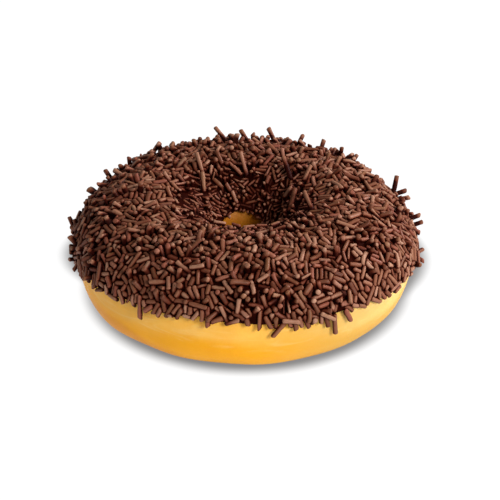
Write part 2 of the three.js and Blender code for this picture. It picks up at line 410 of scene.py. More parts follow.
class Finish:
    """A material whose nodes are written as expressions."""

    def __init__(self, name):
        self.material = bpy.data.materials.new(name)
        self.material.use_nodes = True
        self.tree = self.material.node_tree
        self.tree.nodes.clear()
        self.place = self.add("ShaderNodeTexCoord")["Object"]

    def add(self, kind, settings=None, inputs=None):
        """A node of this kind. Its settings are set first, then the values or links of its sockets."""
        node = self.tree.nodes.new(kind)
        for name, value in (settings or {}).items():
            if name == "stops":
                self.set_stops(node.color_ramp, value)
            else:
                setattr(node, name, value)
        for name, value in (inputs or {}).items():
            self.feed(node.inputs[name], value)
        return Node(self, node)

    def feed(self, socket, value):
        """Links a signal to the socket, or sets the socket's own value."""
        if isinstance(value, Signal):
            self.tree.links.new(value.socket, socket)
        elif socket.type == "RGBA":
            socket.default_value = (*value, 1)
        else:
            socket.default_value = value

    def set_stops(self, ramp, stops):
        """Gives a ramp these stops, as (place, colour)."""
        while len(ramp.elements) < len(stops):
            ramp.elements.new(1)
        for element, (place, colour) in zip(ramp.elements, stops):
            element.position = place
            element.color = (*colour, 1)

    def noise(self, place, size, **inputs):
        """Noise from 0 to 1 whose patches are about size across."""
        return self.add("ShaderNodeTexNoise", {}, {"Vector": place, "Scale": 1 / size, **inputs})["Fac"]

    def mix(self, share, first, second):
        """The colour first where share is 0 and second where it is 1."""
        made = self.add("ShaderNodeMix", {"data_type": "RGBA"})
        colours = [socket for socket in made.node.inputs if socket.type == "RGBA"]
        for socket, value in zip((made.node.inputs[0], *colours), (share, first, second)):
            self.feed(socket, value)
        return Signal(self, next(socket for socket in made.node.outputs if socket.type == "RGBA"))

    def vector_math(self, operation, *values):
        """A Vector Math node on these values."""
        return self.add("ShaderNodeVectorMath", {"operation": operation}, dict(enumerate(values)))

    def stretch(self, place, scales):
        """The place with each of its coordinates scaled."""
        return self.vector_math("MULTIPLY", place, scales)["Vector"]

    def bump(self, height, distance):
        """A bumped normal, for a height from 0 to 1 that stands for this distance."""
        return self.add("ShaderNodeBump", {}, {"Height": height, "Distance": distance})["Normal"]

    def surface(self, **inputs):
        """Ends the material with one Principled shader, whose sockets are named with underscores."""
        named = {name.replace("_", " "): value for name, value in inputs.items()}
        shader = self.add("ShaderNodeBsdfPrincipled", {}, named)
        self.add("ShaderNodeOutputMaterial", {}, {"Surface": shader["BSDF"]})
        return self.material


# ---- The dough

DOUGH_ROUND = 300  # sections round the ring
DOUGH_ACROSS = 104  # points round each section
BASE_CLEAR = 3 * MM  # height above the flat underside over which the dents come in
LIT_SIDE = (0.84, -0.54, 0)  # the way to the side that the lamps light, where painted light makes the dough paler
STREAKED = (1, 1, 5)  # squeezes noise from top to bottom, so that it streaks round the ring
# Heights, ways towards the lit side, and lengths in the hole, over which the crust's colours, with its
# painted light and shade, come or go
PALE_OVER, WISPY_OVER = (8 * MM, 13.5 * MM), (7 * MM, 11 * MM)
BROWN_UNTIL, FOOT_UNTIL = (0.2 * MM, 3.4 * MM), (0.1 * MM, 1.6 * MM)
SHADED_SIDE_UNTIL, SHADED_SIDE_RISE = (-12 * MM, 14 * MM), 6.5 * MM  # painted shade: the foot's browning rises that much on the side away from the lamps
CREAM_OVER, CLOUDY_OVER = (24 * MM, 40 * MM), (32 * MM, 44 * MM)
HOLE_SHADE_UNTIL, HOLE_SHADOW_ALONG_X = (11 * MM, 17 * MM), (-3 * MM, 6 * MM)  # painted shade in the hole: away from the axis; and its painted shadow, along X
CREAMY, WISPY, CLOUDY = 0.75, 0.28, 0.3  # the most that each of these covers; the creamy side and the clouds are painted light on the side towards the lamps
WISPS = (0.5, 0.8)  # values of the noise over which a streak comes in
HOLE_SHADOW_SHARE = 0.3  # the painted shadow in the hole, against the deep crust's colour
STREAKS_SWAY, PATCHES_SWAY = 3 * MM, 4 * MM  # they move these edges, but for the underside's and the hole's


def golden_crust(dough):
    """Fried crust: a pale band round the middle with faint streaks, golden below it and browner at the foot.
    Painted light makes the side towards the lamps creamy, with pale clouds of sheen; painted shade browns the
    other side and darkens the crust in the hole, most towards +X."""
    finish = Finish("golden_crust")
    place = finish.place
    parts = finish.add("ShaderNodeSeparateXYZ", {}, {"Vector": place})
    height = parts["Z"]
    from_axis = finish.vector_math("LENGTH", finish.stretch(place, (1, 1, 0)))["Value"]
    to_lit_side = finish.vector_math("DOT_PRODUCT", place, LIT_SIDE)["Value"]
    streaks = finish.noise(finish.stretch(place, STREAKED), size=16 * MM, Detail=4.0, Distortion=0.4)
    patches = finish.noise(place, size=22 * MM, Detail=2.0)
    wander = (streaks - 0.5) * STREAKS_SWAY + (patches - 0.5) * PATCHES_SWAY
    level = height + wander
    pale_share = level.between(*PALE_OVER)
    side = to_lit_side + wander
    mottle = finish.noise(place, size=5 * MM, Detail=5.0, Roughness=0.6)
    wisps = finish.noise(finish.stretch(place, STREAKED), size=11 * MM, Detail=4.0, Distortion=1.2)
    # Painted shade: the browning of the foot rises on the side away from the lamps
    shaded_side = 1 - side.between(*SHADED_SIDE_UNTIL)
    brown_share = 1 - (level - SHADED_SIDE_RISE * shaded_side).between(*BROWN_UNTIL)
    colour = finish.mix(pale_share * (0.62 + 0.5 * streaks), dough.golden, dough.pale)
    colour = finish.mix((mottle - 0.5) * 0.5 + 0.08, colour, dough.brown_and_side_shade)
    # Painted light: the side towards the lamps turns creamy, and pale clouds of painted sheen come in there
    colour = finish.mix(side.between(*CREAM_OVER) * CREAMY, colour, dough.lit_side_cream)
    wispy_share = wisps.between(*WISPS) * WISPY + side.between(*CLOUDY_OVER) * CLOUDY
    colour = finish.mix(wispy_share * level.between(*WISPY_OVER), colour, dough.wispy_and_sheen)
    colour = finish.mix(brown_share * (0.4 + 0.8 * streaks), colour, dough.brown_and_side_shade)
    colour = finish.mix(1 - height.between(*FOOT_UNTIL), colour, dough.deep)
    # Painted shade in the hole, with a painted shadow darkest towards +X
    darker = tuple(HOLE_SHADOW_SHARE * value for value in dough.deep)
    inside = finish.mix(parts["X"].between(*HOLE_SHADOW_ALONG_X), dough.deep, darker)
    colour = finish.mix(1 - from_axis.between(*HOLE_SHADE_UNTIL), colour, inside)
    skin = finish.noise(place, size=0.5 * MM, Detail=3.0)
    dimples = finish.noise(place, size=2.6 * MM, Detail=3.0)
    normal = finish.bump(0.35 * skin + dimples, 0.12 * MM)
    return finish.surface(
        Base_Color=colour,
        Roughness=0.5 + 0.14 * (mottle - 0.5),
        Specular_IOR_Level=0.15,
        Subsurface_Weight=0.1,
        Subsurface_Radius=(1.0, 0.45, 0.15),
        Subsurface_Scale=2.5 * MM,
        Normal=normal,
    )


class DOUGHNUT_OT_shape_dough(bpy.types.Operator):
    """Shapes the dough ring, with its soft dents and pressed underside"""

    bl_idname = "doughnut.shape_dough"
    bl_label = "Shape dough"

    def execute(self, context):
        ring = read_ring(context.scene)
        u = (TURN * np.arange(DOUGH_ROUND) / DOUGH_ROUND)[:, None]
        t = (TURN * (np.arange(DOUGH_ACROSS) + 0.5) / DOUGH_ACROSS)[None, :]
        u, t = np.broadcast_arrays(u, t)
        out = ring.axes(u, t)[2]
        points = ring.point(u, t)
        clear_of_base = np.clip(points[..., 2] / BASE_CLEAR, 0, 1)
        points = points + out * (ring.relief(u, t) * clear_of_base)[..., None]
        faces = grid_faces(DOUGH_ROUND, DOUGH_ACROSS).tolist()
        material = golden_crust(context.scene.doughnut_dough)
        piece = smooth_object("dough_ring", points, faces, material)
        fit_to_frame(piece, "dough")
        return {"FINISHED"}


# ---- The icing

ICING_ROUND = 420  # sections round the ring
ICING_ACROSS = 64  # steps between the two lips
ICING_LIP_ROWS = 7
ICING_RUN = 0.25 * MM  # how far the icing runs below its sprinkles
ICING_FOOT = 0.35 * MM  # how far the icing's inner face lies under the dough's surface
EDGE_RIPPLES = ((23, 0.55, 1.3), (37, 0.4, 0.2), (53, 0.3, 2.2))  # degrees, on both edges
CLOUD_PALER = 1.9  # the faint clouds, against the icing's own colour
CLOUDS = (0.35, 0.75)  # values of the noise over which a cloud comes in


def chocolate_icing(coat):
    """Set chocolate icing, dark and dull, with faint paler clouds."""
    finish = Finish("chocolate_icing")
    place = finish.place
    cloud = finish.noise(place, size=3 * MM, Detail=3.0)
    paler = tuple(CLOUD_PALER * value for value in coat.chocolate)
    return finish.surface(
        Base_Color=finish.mix(cloud.between(*CLOUDS), coat.chocolate, paler),
        Roughness=0.7 + 0.2 * (cloud - 0.5),
        Specular_IOR_Level=0.02,
        Normal=finish.bump(cloud, 0.1 * MM),
    )


class DOUGHNUT_OT_dip_icing(bpy.types.Operator):
    """Dips the ring to its equator in chocolate icing, which ends in a wavy rounded lip"""

    bl_idname = "doughnut.dip_icing"
    bl_label = "Dip in icing"

    def execute(self, context):
        ring = read_ring(context.scene)
        coat = context.scene.doughnut_coat
        u = (TURN * np.arange(ICING_ROUND) / ICING_ROUND)[:, None]
        ripple = np.radians(wave_sum(EDGE_RIPPLES, u))
        start = ring.outer_edge(u) - ripple - ICING_RUN / ring.tube_radius
        end = ring.inner_edge(u) + ripple
        breadth = (end - start) * ring.tube_radius
        lip = coat.lip * (1 - np.cos(np.linspace(0, math.pi / 2, ICING_LIP_ROWS)))[None, :]
        middle = coat.lip + (breadth - 2 * coat.lip) * (np.arange(1, ICING_ACROSS) / ICING_ACROSS)[None, :]
        along = np.concatenate([lip + 0 * u, middle, breadth - lip[:, ::-1]], axis=1)
        t = start + along / ring.tube_radius
        u = np.broadcast_to(u, t.shape)
        in_from_edge = np.minimum(along, breadth - along)
        rounded = np.sqrt(1 - (1 - np.clip(in_from_edge / coat.lip, 0, 1)) ** 2)
        out = ring.axes(u, t)[2]
        bare = ring.point(u, t) + out * ring.relief(u, t)[..., None]
        outside = bare + out * (coat.thickness * rounded)[..., None]
        inside = bare - out * ICING_FOOT
        points = np.concatenate([outside, inside[:, ::-1]], axis=1)
        faces = grid_faces(*points.shape[:2]).tolist()
        piece = smooth_object("icing_skin", points, faces, chocolate_icing(coat))
        fit_to_frame(piece, "sprinkled_icing")
        return {"FINISHED"}


# ---- Sprinkles

# Pairs of angles are in degrees round the tube, and what they say comes in smoothly between them.
GIRTH_SPREAD, GIRTH_RANGE = 0.08, (0.8, 1.2)  # of the sprinkles' girths, against their mean
LYING_SINK, STANDING_SINK = 0.28 * MM, 0.6 * MM  # how deep they may sink into the icing
LIES_WITHIN = math.radians(20)  # how far a lying sprinkle starts off level
STANDING_LONGEST, STANDING_CUT = 4.4 * MM, 0.7  # the most, and the least share of it that one is cut to
STANDING_TURNS = 0.12  # how freely it turns when it is pushed, against a lying one
LEANS_FROM, STANDS_FROM, STANDS_TO = (math.radians(slope) for slope in (26, 52, 88))
SIDE_TO = math.radians(66)  # angle round the tube that parts the lying sprinkles into two pieces
OVER_EDGE, EDGE_LYING = (10, 30), 0.6  # share of the standing ones that lie down near the outer edge instead
COMBED = (0.5, 0.25)  # share of the sprinkles that point down a steep slope, and how it grows towards +X
COMBED_SWAY = math.radians(36)
OVERHANG = 0.3 * MM  # how far a sprinkle's end may reach past the icing's outer edge
INNER_SPARE = 0.4 * MM  # how far it stays inside the icing's edge in the hole
BARER_AT, BARER_BY = math.radians(184), 3.0 * MM  # an azimuth where it stays further inside, and how much
BARER_OVER = (0.5, 0.95)  # cosines of the angle from that azimuth
LAYERS = (0.5, 0.32, 0.18)  # shares of the sprinkles that start in each layer, from the icing out
LAYER_RISE = 1.4 * MM
INTO_HOLE = (101, 120)  # sprinkles get shorter and thinner, and more of them stand
HOLE_LONGEST, HOLE_GIRTH = 3.0 * MM, 0.66  # of those that stand there, and of all there against the rest
HOLE_STANDING, HOLE_STEEPER = 0.86, math.radians(34)  # share that stands, and how much steeper the flattest
HOLE_WALL, HOLE_COVER = (122, 150), 2.0  # they start in one layer, with this many times as many to an area
PLACES_TRIED = 6  # for each sprinkle
# Steps of an even sequence: the plastic number to the powers -1 and -2, and the golden ratio to the power -2
EVEN_STEPS = (0.7548776662466927, 0.5698402909980532, 0.3819660112501051)
SETTLE_STEPS = 240
PAIRS_EVERY = 6  # steps between searches for sprinkles that could touch
PAIRS_SPARE = 0.5 * MM  # added to each one's reach in a search, for its moves until the next
PULL = 0.045 * MM  # towards the icing, a step
EASE = 0.42  # share of an overlap that one step undoes
GRAIN = 1e-8  # places are rounded to this at every step, so that each machine settles them alike
PARALLEL = 1e-6  # squared sine of an angle at which two rods are taken as parallel
SAME_PLACE = 1e-9  # metres


@dataclass
class Rods:
    """Sprinkles as straight round-ended rods: one row of each array to a sprinkle."""

    centre: np.ndarray
    axis: np.ndarray
    length: np.ndarray
    radius: np.ndarray
    sink: np.ndarray  # how deep it may sink into the icing
    turns: np.ndarray  # 1 turns freely when it is pushed, 0 keeps its direction
    held: np.ndarray  # True stays where it was laid

    @property
    def core(self):
        """Half the length between the middles of a rod's two round ends."""
        return self.length / 2 - self.radius


def spread(count, ring):
    """Even places on the icing, as u and t, closer together in the hole and where sprinkles are heaped."""
    index = np.arange(PLACES_TRIED * count)
    u = TURN * (0.5 + index * EVEN_STEPS[0]) % TURN
    share = (0.5 + index * EVEN_STEPS[1]) % 1
    keep = (0.5 + index * EVEN_STEPS[2]) % 1
    start, end = ring.outer_edge(u), ring.inner_edge(u)
    t = start + (end - start) * share
    stretch = np.linalg.norm(ring.point(u, t + PROBE) - ring.point(u, t - PROBE), axis=-1) / (2 * PROBE)
    reach = np.hypot(*ring.point(u, t)[..., :2].T)
    area = reach * stretch * (end - start)
    area *= 1 - (1 - HOLE_COVER) * smooth_step(*HOLE_WALL, np.degrees(t))
    for azimuth, angle, wide, more in HEAPS:
        turned = np.degrees((u - math.radians(azimuth) + math.pi) % TURN - math.pi)
        area *= 1 + more * np.exp(-(turned ** 2 + (np.degrees(t) - angle) ** 2) / wide ** 2)
    chosen = np.flatnonzero(keep < area / area.max())[:count]
    if len(chosen) < count:
        raise RuntimeError("the icing has too few places for the sprinkles")
    return u[chosen], t[chosen]


def lay_rods(ring, settings, draw):
    """The sprinkles as they fall: in loose layers over the icing, some lying and some standing."""
    count = settings.count
    u, t = spread(count, ring)
    in_hole = smooth_step(*INTO_HOLE, np.degrees(t))
    layer = draw.choice(len(LAYERS), count, p=LAYERS) * (1 - smooth_step(*HOLE_WALL, np.degrees(t)))
    layer = np.round(layer)
    length = draw.triangular(settings.shortest, settings.length, settings.longest, count)
    girth = draw.normal(1, GIRTH_SPREAD, count).clip(*GIRTH_RANGE)
    radius = settings.diameter / 2 * girth * (1 - (1 - HOLE_GIRTH) * in_hole)
    standing = settings.standing * (1 - EDGE_LYING * (1 - smooth_step(*OVER_EDGE, np.degrees(t))))
    stands = draw.random(count) < standing + (HOLE_STANDING - settings.standing) * in_hole
    longest = STANDING_LONGEST + (HOLE_LONGEST - STANDING_LONGEST) * in_hole
    longest = longest * draw.uniform(STANDING_CUT, 1, count)
    length = np.where(stands, np.minimum(length, longest), length)
    steep = draw.uniform(LEANS_FROM + HOLE_STEEPER * in_hole, STANDS_TO, count)
    tilt = np.where(stands, steep, draw.uniform(-LIES_WITHIN, LIES_WITHIN, count))
    combed = draw.random(count) < (COMBED[0] + COMBED[1] * np.cos(u)) * np.abs(np.cos(t))
    downhill = math.pi / 2 + COMBED_SWAY * draw.normal(0, 1, count)
    spin = np.where(combed, downhill, draw.uniform(0, TURN, count))
    spin += math.pi * draw.integers(0, 2, count)
    out = ring.axes(u, t)[2]
    axis = ring.direction(u, t, spin, tilt)
    lift = ring.coat.thickness + radius + layer * LAYER_RISE + np.abs(np.sin(tilt)) * (length / 2 - radius)
    centre = ring.point(u, t) + out * lift[:, None]
    sink = np.where(stands, STANDING_SINK, LYING_SINK)
    turns = np.where(stands, STANDING_TURNS, 1.0)
    return Rods(centre, axis, length, radius, sink, turns, np.zeros(count, bool))


def place_rods(ring, settings, rows, rise):
    """The sprinkles of a table. Their lower ends lie rise over the icing, and they stay where they are."""
    table = np.array(rows)
    u, t, spin, tilt = np.radians(table[:, :4].T)
    length = table[:, 4] * MM
    radius = np.full(len(u), settings.diameter / 2)
    lift = ring.coat.thickness + rise + radius + np.sin(tilt) * (length / 2 - radius)
    centre = ring.point(u, t) + ring.axes(u, t)[2] * lift[:, None]
    still = np.zeros(len(u))
    return Rods(centre, ring.direction(u, t, spin, tilt), length, radius, still, still, np.ones(len(u), bool))


def joined(*groups):
    """One set of rods from several."""
    names = Rods.__dataclass_fields__
    return Rods(*(np.concatenate([getattr(g, name) for g in groups]) for name in names))


def squared_gaps(points):
    """The square of the distance between any two of the points."""
    square = dot(points, points)
    return square[:, None] + square[None, :] - 2 * points @ points.T


def close_pairs(rods, spare):
    """Pairs of rods that could touch before the next search."""
    reach = rods.length / 2 + spare
    return np.nonzero(np.triu(squared_gaps(rods.centre) < (reach[:, None] + reach[None, :]) ** 2, 1))


def nearest(rods, one, two):
    """Where each pair is closest: how far along each rod from its middle, and the way from two to one."""
    along_one, along_two = rods.axis[one], rods.axis[two]
    between = rods.centre[one] - rods.centre[two]
    core_one, core_two = rods.core[one], rods.core[two]
    b, c, f = dot(along_one, along_two), dot(along_one, between), dot(along_two, between)
    arm_one = np.clip((b * f - c) / np.maximum(1 - b * b, PARALLEL), -core_one, core_one)
    arm_two = np.clip(b * arm_one + f, -core_two, core_two)
    arm_one = np.clip(b * arm_two - c, -core_one, core_one)
    return arm_one, arm_two, between + along_one * arm_one[:, None] - along_two * arm_two[:, None]


class Pushes:
    """What one step of settling does to each rod: it shifts and it turns."""

    def __init__(self, rods):
        self.rods = rods
        self.shift = np.zeros_like(rods.centre)
        self.swing = np.zeros_like(rods.centre)

    def push(self, who, arm, move):
        """Moves the point at arm along each rod by move, partly by a shift and partly by a turn.

        A rod's turning inertia is its mass times its length squared, over 12."""
        rods = self.rods
        give = 12 * arm / rods.length[who] ** 2 * rods.turns[who]
        moved = move / (1 + give * arm)[:, None] * ~rods.held[who, None]
        swung = moved * give[:, None]
        size = len(rods.length)
        for axis in range(3):
            self.shift[:, axis] += np.bincount(who, moved[:, axis], size)
            self.swing[:, axis] += np.bincount(who, swung[:, axis], size)

    def apply(self):
        """Moves and turns the rods."""
        rods = self.rods
        rods.centre = np.round((rods.centre + EASE * self.shift) / GRAIN) * GRAIN
        rods.axis = unit(np.round((rods.axis + EASE * self.swing) / GRAIN) * GRAIN)


def keep_apart(rods, pushes, one, two):
    """Pushes apart the rods that lie in each other."""
    arm_one, arm_two, gap = nearest(rods, one, two)
    apart = np.linalg.norm(gap, axis=-1)
    overlap = rods.radius[one] + rods.radius[two] - apart
    hit = np.flatnonzero(overlap > 0)
    one, two = one[hit], two[hit]
    move = (overlap[hit] / np.maximum(apart[hit], SAME_PLACE) / 2)[:, None] * gap[hit]
    pushes.push(one, arm_one[hit], move)
    pushes.push(two, arm_two[hit], -move)


def keep_on_icing(rods, ring, pushes):
    """Lifts rods out of the icing, and keeps their ends from reaching far past its edges."""
    everyone = np.arange(len(rods.length))
    for end in (-1, 0, 1):
        arm = end * rods.core
        u, t, height, out = ring.over_dough(rods.centre + rods.axis * arm[:, None])
        sunk = np.maximum(ring.coat.thickness + rods.radius - rods.sink - height, 0)
        pushes.push(everyone, arm, out * sunk[:, None])
        below = np.maximum((ring.outer_edge(u) - t) * ring.tube_radius - OVERHANG, 0)
        spare = INNER_SPARE + BARER_BY * smooth_step(*BARER_OVER, np.cos(u - BARER_AT))
        past = np.maximum((t - ring.inner_edge(u)) * ring.tube_radius + spare, 0)
        away_x, away_y = np.cos(u), np.sin(u)
        rise = np.hypot(out[:, 0], out[:, 1]) * np.sign(out[:, 0] * away_x + out[:, 1] * away_y)
        over = np.stack([-out[:, 2] * away_x, -out[:, 2] * away_y, rise], axis=-1)
        pushes.push(everyone, arm, over * (below - past)[:, None])


def settle(rods, ring):
    """Draws the rods to the icing, and lets them push each other aside until they lie on one another."""
    for step in range(SETTLE_STEPS):
        if step % PAIRS_EVERY == 0:
            one, two = close_pairs(rods, spare=PAIRS_SPARE)
        pushes = Pushes(rods)
        out = ring.over_dough(rods.centre)[3]
        pushes.shift -= out * (PULL / EASE * ~rods.held)[:, None]
        keep_apart(rods, pushes, one, two)
        keep_on_icing(rods, ring, pushes)
        pushes.apply()
    return rods


SIDES = 10
# Rings from one end of a sprinkle to its middle: radii in from the end, and share of the full radius
END_RINGS = ((0.0, 0.62), (0.16, 0.9), (0.42, 1.0))
MIDDLE_RINGS = 3
UNEVEN = 0.05  # how much the girth varies along a sprinkle
BENT_SHARE = 0.09
BENT_SAG, STRAIGHT_SAG, SAG_LENGTH = 0.12, 0.03, 4 * MM  # sags, as shares of a sprinkle of this length
SAG_LIMIT = 2  # the most, as a multiple of those
FLAT_SHARE, FLATTENED, ROUNDED = 0.05, 0.55, (0.82, 1.0)  # the last two: depth of a section against width
SLANT = 0.25  # how far the ends are cut askew, in radii
BULGE = 0.1  # how far the ends stand out, in radii
MAP_MARGIN = 0.06  # of a sprinkle's cell in the map


def rod_points(rods, draw):
    """The points of every sprinkle: a rod with blunt rounded ends, a slight bend and an uneven girth."""
    count = len(rods.length)
    half, radius = rods.length / 2, rods.radius
    inset = np.array([inset for inset, _ in END_RINGS])
    girth = np.array([share for _, share in END_RINGS])
    ends = half[:, None] - inset * radius[:, None]
    reach = ends[:, -1:]
    middle = reach * np.linspace(-1, 1, MIDDLE_RINGS + 2)[1:-1]
    along = np.concatenate([-ends, middle, ends[:, ::-1]], axis=1)
    share = np.concatenate([girth, np.ones(MIDDLE_RINGS), girth[::-1]])[None, :]
    girths = radius[:, None] * share * draw.normal(1, UNEVEN, along.shape)
    side = unit(np.cross(rods.axis, unit(draw.normal(0, 1, (count, 3)))))
    other = np.cross(rods.axis, side)
    bend = draw.normal(0, 1, count).clip(-SAG_LIMIT, SAG_LIMIT) * rods.length ** 2 / SAG_LENGTH
    bend *= np.where(draw.random(count) < BENT_SHARE, BENT_SAG, STRAIGHT_SAG) * ~rods.held
    # Two thirds is the curve's mean, so that a bent sprinkle stays where its straight rod lay.
    sag = bend[:, None] * (1 - (along / half[:, None]) ** 2) - bend[:, None] * 2 / 3
    angle = TURN * np.arange(SIDES) / SIDES
    spine = rods.centre[:, None] + rods.axis[:, None] * along[..., None] + side[:, None] * sag[..., None]
    squash = np.where(draw.random(count) < FLAT_SHARE, FLATTENED, draw.uniform(*ROUNDED, count))
    squash = squash[:, None, None]
    around = side[:, None] * np.cos(angle)[:, None] + squash * other[:, None] * np.sin(angle)[:, None]
    rings = spine[:, :, None] + girths[:, :, None, None] * around[:, None]
    slant = draw.normal(0, SLANT, (count, 2, 1)) * radius[:, None, None] * np.cos(angle)
    slants = np.zeros((*along.shape, SIDES))
    slants[:, :len(girth)], slants[:, -len(girth):] = slant[:, :1], slant[:, 1:]
    rings += slants[..., None] * rods.axis[:, None, None]
    bulge = rods.axis[:, None] * (BULGE * radius)[:, None, None]
    return np.concatenate([spine[:, :1] - bulge, rings.reshape(count, -1, 3), spine[:, -1:] + bulge], axis=1)


def rod_faces(count, ring_count):
    """The faces of count sprinkles, as triangles at the ends and quads between."""
    own = 2 + ring_count * SIDES
    quads = grid_faces(ring_count, SIDES, close_rows=False)[:, ::-1] + 1
    j = np.arange(SIDES)
    after = (j + 1) % SIDES
    first = np.stack([np.zeros_like(j), 1 + after, 1 + j], axis=-1)
    top = 1 + (ring_count - 1) * SIDES
    last = np.stack([np.full_like(j, own - 1), top + j, top + after], axis=-1)
    faces = []
    for shape in (first, quads, last):
        every = shape[None] + own * np.arange(count)[:, None, None]
        faces.append(every.reshape(count, len(shape), -1))
    return faces


def rod_map(count, ring_count):
    """A map for the sprinkles' faces: each sprinkle is unrolled in its own cell of a square sheet."""
    cells = math.ceil(math.sqrt(count))
    rows = np.linspace(0, 1, ring_count + 2)
    j = np.arange(SIDES)

    def corner(side, row):
        return np.stack([side / SIDES, row + 0 * side], axis=-1)

    first = np.stack([corner(j + 0.5, 0), corner(j + 1, rows[1]), corner(j, rows[1])], axis=1)
    last = np.stack([corner(j + 0.5, 1), corner(j, rows[-2]), corner(j + 1, rows[-2])], axis=1)
    i, j = (a.ravel() for a in np.meshgrid(np.arange(ring_count - 1), j, indexing="ij"))
    around = [(0, 0), (1, 0), (1, 1), (0, 1)]
    quads = np.stack([corner(j + dj, rows[1 + i + di]) for di, dj in around], axis=1)[:, ::-1]
    cell = np.stack(np.divmod(np.arange(count), cells)[::-1], axis=-1)[:, None]
    flat = (part.reshape(-1, 2)[None] for part in (first, quads, last))
    placed = ((cell + MAP_MARGIN + (1 - 2 * MAP_MARGIN) * part) / cells for part in flat)
    return [part.reshape(-1, 2) for part in placed]


# Painted shade on the sprinkles: a point's colour is darkened where it lies deep among its neighbours, faces
# away from the outside of the dough, touches another sprinkle or lies in the hole
ROOF_REACH = 2.4 * MM  # how far round a sprinkle its neighbours shade it
TOUCH_REACH = 0.45 * MM  # how near a neighbour darkens it
PAIRS_AT_ONCE = 4000
GLOOM_OVER = (98, 124)  # degrees round the tube: over these, the sprinkles get more painted shade
GLOOM = 0.2  # share of its painted light that a sprinkle loses there to painted shade
RISEN_OVER = (-1.9 * MM, -0.1 * MM)  # heights against the neighbours' tops, over which a point comes clear
STICKS_OUT, STUCK_OUT = 1.6 * MM, 0.7  # height over those tops that counts as facing out, and how much
FACING_OUT = (-0.1, 0.95)  # cosines between a sprinkle's skin and the way out of the dough
CLEAR_OVER, TOUCHED = (-0.05 * MM, 0.4 * MM), 0.2  # gaps to other sprinkles, and the share of painted light left where they touch
# The higher the power, the deeper the painted shade on half-sunk points, nearer to that on sunk ones. It goes
# by degrees round the tube.
PAINTED_SHADE_POWER_AT = (48, 74, *GLOOM_OVER)
PAINTED_SHADE_POWER = (2.1, 1.15, 1.15, 4.0)


def roof(rods, ring):
    """How high over the dough the sprinkles round each sprinkle reach, on average."""
    height, out = ring.over_dough(rods.centre)[2:]
    top = height + np.abs(dot(rods.axis, out)) * rods.core + rods.radius
    near = squared_gaps(rods.centre) < ROOF_REACH ** 2
    return near @ top / near.sum(axis=1)


def from_core(rods, who, points):
    """The way to points from the nearest point on the core of each sprinkle."""
    away = points - rods.centre[who][:, None]
    axis, core = rods.axis[who][:, None], rods.core[who][:, None]
    return away - axis * np.clip(dot(away, axis), -core, core)[..., None]


def gap_to_others(rods, points):
    """How far each of a sprinkle's points is from the nearest other sprinkle, up to TOUCH_REACH."""
    one, two = close_pairs(rods, spare=TOUCH_REACH)
    one, two = np.concatenate([one, two]), np.concatenate([two, one])
    gaps = np.full(points.shape[:2], TOUCH_REACH)
    for start in range(0, len(one), PAIRS_AT_ONCE):
        who, other = one[start:start + PAIRS_AT_ONCE], two[start:start + PAIRS_AT_ONCE]
        apart = np.linalg.norm(from_core(rods, other, points[who]), axis=-1) - rods.radius[other][:, None]
        np.minimum.at(gaps, who, apart)
    return gaps


def painted_light_levels(rods, points, ring):
    """How far the painted shade leaves each point of the sprinkles in its own colour, from 0 to 1: low, that
    is darkly shaded, where it is sunk among the rest, looks down, touches another sprinkle or is deep in the
    hole."""
    _, t, height, out = ring.over_dough(points)
    above = height - roof(rods, ring)[:, None]
    facing = dot(unit(from_core(rods, np.arange(len(points)), points)), out)
    risen = smooth_step(*RISEN_OVER, above)
    turned_up = smooth_step(*FACING_OUT, facing + STUCK_OUT * smooth_step(0, STICKS_OUT, above))
    clear = smooth_step(*CLEAR_OVER, gap_to_others(rods, points))
    in_hole = smooth_step(*GLOOM_OVER, np.degrees(t))
    painted_shade_power = np.interp(np.degrees(t), PAINTED_SHADE_POWER_AT, PAINTED_SHADE_POWER)
    return (risen * turned_up * (TOUCHED + (1 - TOUCHED) * clear)) ** painted_shade_power * (1 - GLOOM * in_hole)


def sprinkle_object(name, points, fields, material):
    """One mesh of these sprinkles, with its fields. Each sprinkle has its own cell in the map."""
    count, ring_count = len(points), (points.shape[1] - 2) // SIDES
    faces = rod_faces(count, ring_count)
    listed = [face for part in faces for face in part.reshape(-1, part.shape[-1]).tolist()]
    made = smooth_object(name, points, listed, material)
    for field, numbers in fields.items():
        made.data.attributes.new(field, "FLOAT", "POINT").data.foreach_set("value", numbers.ravel())
    sheet = made.data.uv_layers.new(name="OFBake")
    sheet.data.foreach_set("uv", np.concatenate(rod_map(count, ring_count)).ravel())
    return made


TONE_SPREAD = (2, 2)  # shape of the beta distribution of the tones, which are darkest at 0 and palest at 1
BLOOM = 0.35  # how far the bloom on a sprinkle's skin sways its tone
REDDISH_OVER, REDDISH_MOST = (0.7, 1.0), 0.5  # warmths over which reddish comes in, and the most of it
OLIVE_UNTIL, OLIVE_MOST = (0.0, 0.25), 0.4  # warmths over which olive goes, and the most of it
HALF_SHADED_UNTIL, SUNK_UNTIL = (0.25, 0.9), (0.0, 0.4)  # painted light levels over which those two painted shade colours go


